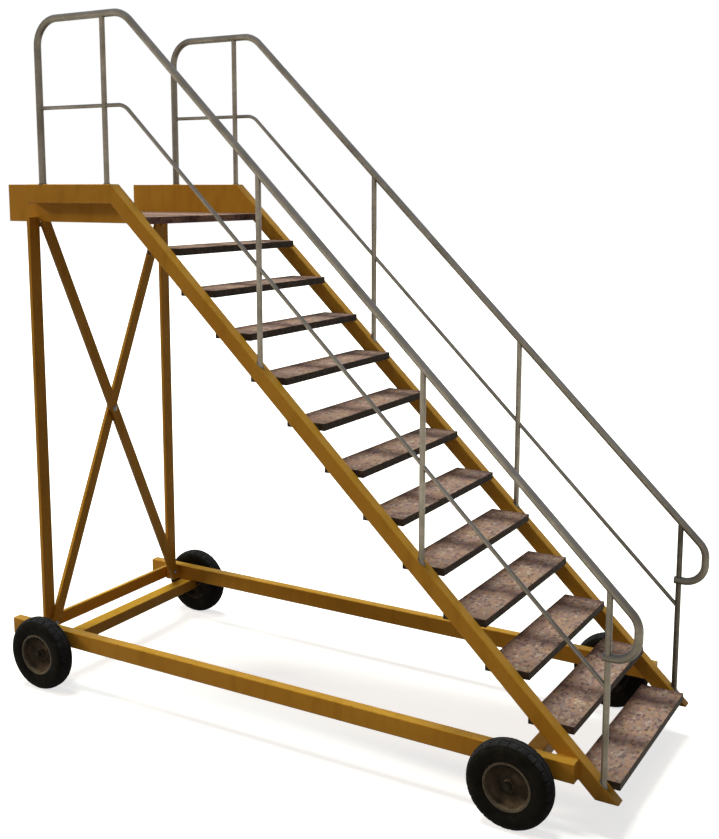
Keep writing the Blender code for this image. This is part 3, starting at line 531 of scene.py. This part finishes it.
def tube_along(points, radius, wall=None, loop=False, fine=8, swell=None):
    """A round tube along points as a bmesh: solid with closed ends, or hollow with a wall. Swell gives the
    share of the radius at each point."""
    curve = bpy.data.curves.new("run", "CURVE")
    curve.dimensions = "3D"
    curve.bevel_depth = radius
    curve.bevel_resolution = fine
    curve.use_fill_caps = wall is None
    run = curve.splines.new("POLY")
    run.points.add(len(points) - 1)
    run.use_cyclic_u = loop
    for spot, point, share in zip(run.points, points, swell or [1.0] * len(points)):
        spot.co = (*point, 1.0)
        spot.radius = share
    guide = bpy.data.objects.new("run", curve)
    bpy.context.scene.collection.objects.link(guide)
    if wall:
        skin = guide.modifiers.new("wall", "SOLIDIFY")
        skin.thickness = wall
        skin.offset = -1.0
    bpy.context.view_layer.update()
    mesh = bpy.data.meshes.new_from_object(guide.evaluated_get(bpy.context.evaluated_depsgraph_get()))
    bpy.data.objects.remove(guide, do_unlink=True)
    bpy.data.curves.remove(curve)
    shape = bmesh.new()
    shape.from_mesh(mesh)
    bpy.data.meshes.remove(mesh)
    bmesh.ops.remove_doubles(shape, verts=shape.verts, dist=1e-6)
    bmesh.ops.recalc_face_normals(shape, faces=shape.faces)
    return shape


def bolt_head(radius, height):
    """A low dome on a washer, standing on X = 0 and pointing along +X."""
    rise = [(radius * math.cos(turn), height * (0.25 + 0.75 * math.sin(turn)))
            for turn in (0.0, 0.3, 0.6, 0.9, 1.2)]
    profile = [(0.0, 0.0), (radius * 1.25, 0.0), (radius * 1.25, height * 0.22), (radius, height * 0.25)]
    return turned(profile + rise[1:] + [(0.0, height)], BOLT_STEPS, closed=False)


def hexagon(radius, depth, corner, place):
    """A hexagon nut with softened edges, its hole filled by the bolt."""
    shape = bmesh.new()
    bmesh.ops.create_cone(shape, cap_ends=True, segments=6, radius1=radius, radius2=radius, depth=depth,
                          matrix=place)
    round_edges(shape, corner, segments=2)
    return shape


# Painted steel frame

TUBE_CORNER = 0.005
FLAT_CORNER = 0.003
SHEET_CORNER = 0.0012
PAN_CORNER = 0.003
GRIT_UP, GRIT_FRONT = 0.7, 0.5      # of a gritted face's normal: up, or forward on the deck
LONG_EDGE = 0.3                     # a tube's own edges are longer than this, its cut ends shorter
PLATE_EDGE = 0.1
END_PLATE = 0.004
CROSSING_HEAD = (0.0135, 0.010)     # radius and height
CROSSING_SEAT = 0.008               # the head's washer, behind the bolt's front end
SHANK_RADIUS = 0.006
SHANK_IN_HEAD = 0.001
SHANK_IN_NUT = 0.002
CROSSING_NUT_RADIUS = 0.0115
CROSSING_NUT_DEPTH = 0.008
CROSSING_NUT_CORNER = 0.0008
END_HEAD = (0.011, 0.008)           # radius and height
END_LIFT = 0.0002                   # off the brace's face
BRACE_FOOT = (0.512, 0.300)         # across and up
BRACE_HEAD = (0.487, 2.512)


def dress_frame():
    """Rounded corners on the rolled tubes, and a softened arris on the plates."""
    long_tubes = [f"{kind}_{side}" for kind in ("base_rail", "stringer", "platform_rail") for side in SIDES]
    flat_tubes = ["rear_post_left", "rear_post_right", "rear_tie", "brace_front", "brace_rear"]
    channels = ["front_axle_beam", "rear_axle_beam"]
    plates = ["toe_board_left", "toe_board_right"]
    for names, radius, shortest in ((long_tubes, TUBE_CORNER, LONG_EDGE),
                                    (flat_tubes + channels, FLAT_CORNER, LONG_EDGE),
                                    (plates, SHEET_CORNER, PLATE_EDGE)):
        for node in names:
            shape = solid_copy(node)
            round_edges(shape, radius, shortest=shortest)
            add_piece(node + "_steel", shape, [PAINT], "frame_paint", replaced=[node])


def dress_treads():
    """Grit on the tops of the treads and deck and down the deck's front, thin resin in painted shade over
    the other edges.
    """
    for node in STEPS + ["platform_deck"]:
        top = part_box(node)[1].z
        shape = solid_copy(node)
        round_edges(shape, PAN_CORNER,
                    chosen=lambda edge: max(v.co.z for v in edge.verts) > top - SAME_PLACE)
        shape.normal_update()
        for face in shape.faces:
            rough = face.normal.z > GRIT_UP or (node == "platform_deck" and face.normal.y < -GRIT_FRONT)
            # The faces without grit take the resin in painted shade
            face.material_index = 0 if rough else 1
        add_piece(node + "_pan", shape, [GRIT, SHADED_TREAD_SIDE], "tread", replaced=[node])


def dress_rail_ends():
    """Welded plates that close the rear ends of the base rails, as at the front."""
    for side in SIDES:
        low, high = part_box(f"base_rail_{side}")
        centre = middle(f"base_rail_{side}")
        centre.y = high.y + END_PLATE / 2
        size = (high.x - low.x, END_PLATE, high.z - low.z, 1.0)
        shape = bmesh.new()
        bmesh.ops.create_cube(shape, size=1.0, matrix=Matrix.Translation(centre) @ Matrix.Diagonal(size))
        round_edges(shape, TUBE_CORNER,
                    chosen=lambda edge: abs(edge.verts[0].co.y - edge.verts[1].co.y) > SAME_PLACE)
        round_edges(shape, SHEET_CORNER, segments=2,
                    chosen=lambda edge: min(v.co.y for v in edge.verts) > centre.y + END_PLATE / 4)
        add_piece(f"base_rail_plate_{side}", shape, [PAINT], "frame_paint")


def dress_braces():
    """The bolt through the crossing, and one through each end of the braces."""
    front, rear = (corner.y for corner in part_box("brace_bolt"))
    x, _, z = middle("brace_bolt")
    seat = front + CROSSING_SEAT
    bolt = move_to(bolt_head(*CROSSING_HEAD), (x, seat, z), FORWARD)
    shank_end = rear - CROSSING_NUT_DEPTH + SHANK_IN_NUT
    join_in(bolt, tube_along([(x, seat - SHANK_IN_HEAD, z), (x, shank_end, z)], SHANK_RADIUS))
    nut_place = (Matrix.Translation((x, rear - CROSSING_NUT_DEPTH / 2, z))
                 @ Matrix.Rotation(math.pi / 2, 4, "X"))
    join_in(bolt, hexagon(CROSSING_NUT_RADIUS, CROSSING_NUT_DEPTH, CROSSING_NUT_CORNER, nut_place))
    add_piece("brace_crossing_bolt", bolt, [PLATED], "bright_steel", replaced=["brace_bolt"])
    for brace, foot_side in (("front", 1), ("rear", -1)):
        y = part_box(f"brace_{brace}")[0].y - END_LIFT
        for end, side, (across, up), material in (("foot", foot_side, BRACE_FOOT, PLATED),
                                                  ("head", -foot_side, BRACE_HEAD, PAINT)):
            shape = move_to(bolt_head(*END_HEAD), (side * across, y, up), FORWARD)
            add_piece(f"{brace}_brace_{end}_bolt", shape, [material], "bright_steel")


# Painted welds

WELD_RADIUS = 0.0035
WELD_RIPPLE = 0.006
WELD_NARROW = 0.75          # of the radius, between ripples
TREAD_WELD_INSET = 0.012
STITCH = 0.060
STITCH_PITCH = 0.130
STITCH_START = 0.030
RING_POINTS = 24
RING_LIFT = 0.001           # of a ring's middle line, off the tube and off the face under it


def weld_bead(start, end):
    """A straight run of weld, rippled by the torch's steps."""
    start, end = Vector(start), Vector(end)
    count = max(2, 2 * round((end - start).length / WELD_RIPPLE))
    points = [start.lerp(end, i / count) for i in range(count + 1)]
    ripples = [WELD_NARROW if i % 2 else 1.0 for i in range(count + 1)]
    return tube_along(points, WELD_RADIUS, fine=2, swell=ripples)


def weld_ring(x, y, radius):
    """A fillet of weld round a tube's foot, following the stringer or the platform rail under it."""
    reach = radius + RING_LIFT
    ring = []
    for i in range(RING_POINTS):
        turn = math.tau * i / RING_POINTS
        spot_y = y + reach * math.sin(turn)
        ring.append(Vector((x + reach * math.cos(turn), spot_y, stringer_z(spot_y) + RING_LIFT)))
    return tube_along(ring, WELD_RADIUS, loop=True, fine=2)


def base_runs(side):
    """Runs where the axle beams, stringer, post and tie meet a base rail."""
    low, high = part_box(f"base_rail_{side}")
    inner, outer = sorted((low.x, high.x), key=abs)
    for end in ENDS:
        beam_low, beam_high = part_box(f"{end}_axle_beam")
        for y in (beam_low.y, beam_high.y):
            yield (inner, y, low.z), (outer, y, low.z)
        for x in (inner, outer):
            yield (x, beam_low.y, low.z), (x, beam_high.y, low.z)
    yield (inner, low.y, high.z), (inner, stringer_y(high.z, STRINGER_DROP), high.z)
    yield (inner, low.y, low.z), (inner, low.y, high.z)
    post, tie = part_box(f"rear_post_{side}")[0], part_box("rear_tie")
    yield (inner, post.y, post.z), (inner, post.y, high.z)
    yield (inner, post.y, high.z), (inner, tie[1].y, high.z)
    yield (inner, tie[1].y, tie[0].z), (inner, tie[1].y, high.z)


def stair_runs(sign):
    """Runs under the ends of the treads, and stitches along the toe board."""
    for node in STEPS:
        low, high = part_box(node)
        x = sign * high.x
        yield ((x, stringer_y(low.z) + TREAD_WELD_INSET, low.z),
               (x, stringer_y(low.z, STRINGER_DROP) - TREAD_WELD_INSET, low.z))
    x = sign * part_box("toe_board_right")[1].x
    y = RAIL_LOW.y + STITCH_START
    while y + STITCH < RAIL_HIGH.y:
        yield (x, y, RAIL_LOW.z), (x, y + STITCH, RAIL_LOW.z)
        y += STITCH_PITCH


def dress_welds():
    """The frame's weld beads, as one painted piece."""
    welds = bmesh.new()
    for side, sign in SIDES.items():
        for start, end in [*base_runs(side), *stair_runs(sign)]:
            join_in(welds, weld_bead(start, end))
    add_piece("frame_welds", welds, [PAINT], "frame_paint", smooth=60)


# Handrails

HANDRAIL_TOP = HANDRAIL_HIGH.z - HANDRAIL_RADIUS
HANDRAIL_TURN = CORNER_Y - HANDRAIL_CORNER_BACK
HANDRAIL_RISE = (HANDRAIL_TOP - stringer_z(LOWER_Y) - HANDRAIL_LOW_HEIGHT) / (HANDRAIL_TURN - LOWER_Y)


def handrail_z(y):
    """Height of the handrail's middle line, level at the back and sloping with the stair in front."""
    return HANDRAIL_TOP + min(0.0, y - HANDRAIL_TURN) * HANDRAIL_RISE


def handrail_run(x):
    """The handrail's middle line: up the rear leg, forward, down the stair and round the hand loop."""
    front = HANDRAIL_LOW.y + HANDRAIL_RADIUS
    loop = HANDRAIL_LOW.z + HANDRAIL_RADIUS
    corners = [(x, REAR_LEG_Y, CORNER_Z + MESH_GAP), (x, REAR_LEG_Y, HANDRAIL_TOP),
               (x, HANDRAIL_TURN, HANDRAIL_TOP), (x, front, handrail_z(front)),
               (x, front, loop), (x, LOWER_Y + LOOP_TAIL, loop)]
    return rounded_path(corners, (CORNER_BEND, SLOPE_BEND, LOOP_BEND, LOOP_BEND))


def mid_rail_run(x):
    """The mid rail's middle line, from the rear leg to the lower upright."""
    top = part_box("mid_rail_left")[1].z - MID_RAIL_RADIUS
    low = stringer_z(LOWER_Y) + MID_RAIL_LOW_HEIGHT
    corners = [(x, REAR_LEG_Y, top), (x, CORNER_Y - MID_RAIL_CORNER_BACK, top), (x, LOWER_Y, low)]
    return rounded_path(corners, (MID_RAIL_BEND,))


def dress_handrails():
    """Handrails, mid rails and uprights of round tube, and the welds at their feet."""
    for side in SIDES:
        x = middle(f"handrail_{side}").x
        add_piece(f"handrail_tube_{side}", tube_along(handrail_run(x), HANDRAIL_RADIUS, wall=TUBE_WALL),
                  [ZINC_TUBE], "rail_tube", replaced=[f"handrail_{side}"])
        add_piece(f"mid_rail_tube_{side}", tube_along(mid_rail_run(x), MID_RAIL_RADIUS), [ZINC_TUBE],
                  "rail_tube", replaced=[f"mid_rail_{side}"])
        welds = bmesh.new()
        for spot in ("platform", "upper", "middle", "lower"):
            node = f"{spot}_upright_{side}"
            y = middle(node).y
            run = [(x, y, stringer_z(y) - UPRIGHT_SUNK), (x, y, handrail_z(y))]
            material = BROWN_TUBE if node == "lower_upright_right" else ZINC_TUBE
            add_piece(f"{spot}_upright_tube_{side}", tube_along(run, UPRIGHT_RADIUS), [material],
                      "rail_tube", replaced=[node])
            join_in(welds, weld_ring(x, y, UPRIGHT_RADIUS))
        join_in(welds, weld_ring(x, REAR_LEG_Y, HANDRAIL_RADIUS))
        add_piece(f"upright_welds_{side}", welds, [ZINC_TUBE], "rail_tube")


# Wheels

TYRE_STEPS = 108
TREAD_EDGE_RADIUS = 0.187
CUT_RADII = (0.1880, 0.1975)    # the band of the shoulder that is cut
CUT_ACROSS = (0.022, 0.0385)
CUT_EVERY = 4                   # steps, with the two sides half of that apart
CUT_EDGE = 0.0008
CUT_DEPTH = 0.0035
RIM_STEPS = 72
RIM_EDGE_RADIUS = 0.1015
RIM_BACK_DEPTH = -0.0035
VALVE_ROUTE = [Vector((-0.002, 0, 0.096)), Vector((0.010, 0, 0.090)), Vector((0.028, 0, 0.084))]
VALVE_RADIUS = 0.0035
NUT_RADIUS = 0.0200
NUT_DEPTH = 0.0110
NUT_CORNER = 0.0016
NUT_MIDDLE = 0.0080             # out from the washer's inner face
WASHER_STEPS = 36
WASHER = [(0.0130, 0.0), (0.0225, 0.0), (0.0225, 0.0022), (0.0215, 0.0027), (0.0130, 0.0027)]


def tyre_profile():
    """The tyre's outline: from one bead over the tread to the other, and back along the inside."""
    outside = [
        (0.1022, 0.0364), (0.1130, 0.0366), (0.1165, 0.0415), (0.1210, 0.0438), (0.1228, 0.0432),
        (0.1300, 0.0466), (0.1420, 0.0490), (0.1560, 0.0499), (0.1680, 0.0488), (0.1760, 0.0458),
        (0.1870, 0.0392), (0.1940, 0.0320), (0.1980, 0.0230), (0.1995, 0.0175), (0.1960, 0.0160),
        (0.1962, 0.0115), (0.2002, 0.0100),
    ]
    inside = [(0.1880, 0.0200), (0.1560, 0.0410), (0.1022, 0.0225)]
    back = [(radius, -along) for radius, along in reversed(outside)]
    back_inside = [(radius, -along) for radius, along in reversed(inside)]
    return outside + [(WHEEL_RADIUS, 0.0)] + back + back_inside + inside


def make_tyre():
    """A pneumatic tyre: bead ribs, round sidewalls, two grooves round the tread and cut shoulders."""
    shape = turned(tyre_profile(), TYRE_STEPS)
    shape.normal_update()
    cuts = []
    for face in shape.faces:
        centre = face.calc_center_median()
        radius = math.hypot(centre.y, centre.z)
        number = int((math.atan2(centre.z, centre.y) % math.tau) / math.tau * TYRE_STEPS)
        stagger = CUT_EVERY // 2 if centre.x > 0 else 0
        on_shoulder = (CUT_RADII[0] < radius < CUT_RADII[1]
                       and CUT_ACROSS[0] < abs(centre.x) < CUT_ACROSS[1])
        if on_shoulder and face.normal.dot(centre) > 0 and (number + stagger) % CUT_EVERY == 0:
            cuts.append(face)
        if radius > TREAD_EDGE_RADIUS:
            face.material_index = 1
    bmesh.ops.inset_region(shape, faces=cuts, thickness=CUT_EDGE, depth=-CUT_DEPTH, use_even_offset=True)
    return shape


def make_rim():
    """A pressed rim: rolled lips, a deep round dish and a hub tube."""
    front = [
        (0.1126, 0.0385), (0.1126, 0.0402), (0.1108, 0.0424), (0.1080, 0.0430), (0.1048, 0.0420),
        (0.1015, 0.0398), (0.0990, 0.0360), (0.0975, 0.0250), (0.0955, 0.0120), (0.0890, 0.0040),
        (0.0780, -0.0005), (0.0640, -0.0030), (0.0520, -0.0020), (0.0440, 0.0020), (0.0380, 0.0040),
        (0.0300, 0.0040), (0.0255, 0.0050), (0.0245, 0.0235), (0.0225, 0.0250), (0.0200, 0.0250),
    ]
    back = [
        (0.0200, -0.0450), (0.0245, -0.0450), (0.0245, -0.0020), (0.0380, -0.0010), (0.0520, -0.0060),
        (0.0780, -0.0045), (0.0920, -0.0060), (0.0955, -0.0300), (0.0985, -0.0400), (0.1108, -0.0424),
        (0.1126, -0.0402), (0.1126, -0.0372), (0.1018, -0.0372), (0.1018, 0.0372), (0.1126, 0.0372),
    ]
    shape = turned(front + back, RIM_STEPS)
    for face in shape.faces:
        centre = face.calc_center_median()
        if centre.x < RIM_BACK_DEPTH:
            face.material_index = 2
        elif math.hypot(centre.y, centre.z) > RIM_EDGE_RADIUS:
            face.material_index = 1
    return shape


def make_nut():
    """A plain hexagon nut on a washer, standing on X = 0."""
    place = Matrix.Translation((NUT_MIDDLE, 0, 0)) @ Matrix.Rotation(math.pi / 2, 4, "Y")
    shape = hexagon(NUT_RADIUS, NUT_DEPTH, NUT_CORNER, place)
    join_in(shape, turned(WASHER, WASHER_STEPS))
    return shape


def dress_wheel(wheel, sign):
    """A tyre, rim and valve that turn with one wheel, and its axle nut, which stays with the frame."""
    hub = middle(f"{wheel}_tyre")
    body = f"{wheel}_wheel"
    outward = (sign, 0, 0)
    for kind, shape, materials in (("tyre", make_tyre(), [RUBBER, TREAD_RUBBER]),
                                   ("rim", make_rim(), [RIM, RIM_EDGE, RIM_BACK])):
        node = f"{wheel}_{kind}"
        add_piece(f"{node}_visual", move_to(shape, hub, outward), materials, kind, body=body,
                  replaced=[node], smooth=30)
    valve = tube_along(VALVE_ROUTE, VALVE_RADIUS, fine=4)
    add_piece(f"{wheel}_valve", move_to(valve, hub, outward), [RUBBER], "tyre", body=body)
    node = f"{wheel}_axle_nut"
    low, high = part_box(node)
    inner = high.x if sign < 0 else low.x
    add_piece(f"{node}_hex", move_to(make_nut(), (inner, hub.y, hub.z), outward), [DUSTY],
              "bright_steel", replaced=[node])


def dress_wheels():
    """Four wheels, and the axles and bushes that show as they are."""
    for end in ENDS:
        use_material(f"{end}_axle", DUSTY)
        for side, sign in SIDES.items():
            use_material(f"{end}_{side}_bush", BRONZE)
            dress_wheel(f"{end}_{side}", sign)


# Setting

FLOOR_SIZE = 60.0
FLOOR_PALE = (0.8, 0.8, 0.8, 1.0)
FLOOR_BOUNCE = (0.20, 0.15, 0.135, 1.0)
FLOOR_LIFT = 0.72               # beside the object, growing to 1
LIFT_NEAR, LIFT_FAR = 2.0, 6.5
WHITE = (1.0, 1.0, 1.0, 1.0)
FILL_COLOR = (1.0, 0.88, 0.84, 1.0)
FILL_STRENGTH = 0.11
PHOTO_WIDTH, PHOTO_HEIGHT = 719, 839        # pixels
PHOTO_CENTRE = (354.74, 358.75)             # where the lens points, in pixels
FOCAL_PIXELS = 1147.94
SENSOR_WIDTH = 36.0                         # mm
CAMERA_PLACE = (-5.0037, CORNER_Y - 4.0491, 2.7410)
CAMERA_DOWN, CAMERA_RIGHT = 0.1484, 1.0386  # radians, from level and from +Y


def seen_directly(tree):
    """1 for camera, glossy and transmission rays, and 0 for the rest."""
    path = add_node(tree, "ShaderNodeLightPath").outputs
    return combined(tree, "MAXIMUM", path["Is Camera Ray"], path["Is Glossy Ray"],
                    path["Is Transmission Ray"])


def make_floor():
    """A pale floor that is lifted to white where it is seen, except under the object's own shadow."""
    shape = bmesh.new()
    bmesh.ops.create_grid(shape, x_segments=1, y_segments=1, size=FLOOR_SIZE)
    mesh = bpy.data.meshes.new("floor")
    shape.to_mesh(mesh)
    shape.free()
    floor = bpy.data.objects.new("floor", mesh)
    bpy.context.scene.collection.objects.link(floor)
    made = bpy.data.materials.new("studio_floor")
    made.use_nodes = True
    tree = made.node_tree
    tree.nodes.clear()
    plain = add_node(tree, "ShaderNodeBsdfDiffuse", {"Color": FLOOR_BOUNCE})
    pale = add_node(tree, "ShaderNodeBsdfDiffuse", {"Color": FLOOR_PALE})
    # The lamps fade with distance, so the lift grows to full white away from the object.
    place = add_node(tree, "ShaderNodeTexCoord").outputs["Object"]
    away = vector_math(tree, "LENGTH", place)
    lift = fade(tree, away.outputs["Value"], LIFT_NEAR, LIFT_FAR, least=FLOOR_LIFT)
    glow = add_node(tree, "ShaderNodeEmission", {"Strength": lift})
    bright = add_node(tree, "ShaderNodeAddShader", {0: pale.outputs["BSDF"], 1: glow.outputs["Emission"]})
    both = add_node(tree, "ShaderNodeMixShader",
                    {"Fac": seen_directly(tree), 1: plain.outputs["BSDF"], 2: bright.outputs["Shader"]})
    add_node(tree, "ShaderNodeOutputMaterial", {"Surface": both.outputs["Shader"]})
    mesh.materials.append(made)


def make_world():
    """White where it is seen, and a low warm light everywhere else."""
    world = bpy.data.worlds.new("studio")
    bpy.context.scene.world = world
    world.use_nodes = True
    tree = world.node_tree
    tree.nodes.clear()
    white = add_node(tree, "ShaderNodeBackground", {"Color": WHITE})
    warm = add_node(tree, "ShaderNodeBackground", {"Color": FILL_COLOR, "Strength": FILL_STRENGTH})
    both = add_node(tree, "ShaderNodeMixShader",
                    {"Fac": seen_directly(tree), 1: warm.outputs["Background"],
                     2: white.outputs["Background"]})
    add_node(tree, "ShaderNodeOutputWorld", {"Surface": both.outputs["Shader"]})


def add_softbox(name, location, target, size, power, color):
    """A soft lamp turned to a target, itself unseen."""
    lamp = bpy.data.lights.new(name, "AREA")
    lamp.color = color
    lamp.shape = "RECTANGLE"
    lamp.size, lamp.size_y = size
    lamp.energy = power
    box = bpy.data.objects.new(name, lamp)
    bpy.context.scene.collection.objects.link(box)
    box.location = location
    box.rotation_euler = (Vector(target) - Vector(location)).to_track_quat("-Z", "Y").to_euler()
    box.visible_camera = False
    box.visible_glossy = False


def make_camera():
    """The photograph's viewpoint: off the stair's left front, above head height and 8.5 degrees down."""
    lens = bpy.data.cameras.new("camera")
    lens.sensor_fit = "AUTO"
    lens.sensor_width = SENSOR_WIDTH
    lens.lens = FOCAL_PIXELS * SENSOR_WIDTH / PHOTO_HEIGHT
    lens.shift_x = (PHOTO_WIDTH / 2 - PHOTO_CENTRE[0]) / PHOTO_HEIGHT
    lens.shift_y = (PHOTO_CENTRE[1] - PHOTO_HEIGHT / 2) / PHOTO_HEIGHT
    camera = bpy.data.objects.new("camera", lens)
    bpy.context.scene.collection.objects.link(camera)
    camera.location = CAMERA_PLACE
    camera.rotation_euler = (math.pi / 2 - CAMERA_DOWN, 0.0, -CAMERA_RIGHT)
    bpy.context.scene.camera = camera


bpy.context.scene.view_settings.view_transform = "Standard"
dress_frame()
dress_treads()
dress_rail_ends()
dress_braces()
dress_welds()
dress_handrails()
dress_wheels()
make_floor()
make_world()
add_softbox("overhead", location=(0.0, 14.5, 60.4), target=(0.0, 0.0, 1.0), size=(19.8, 29.7),
            power=43000, color=(0.94, 1.0, 0.86))
add_softbox("rear_left", location=(-27.7, 52.1, 30.5), target=(0.0, 0.0, 1.5), size=(11.0, 11.0),
            power=14200, color=(1.0, 0.80, 0.56))
make_camera()
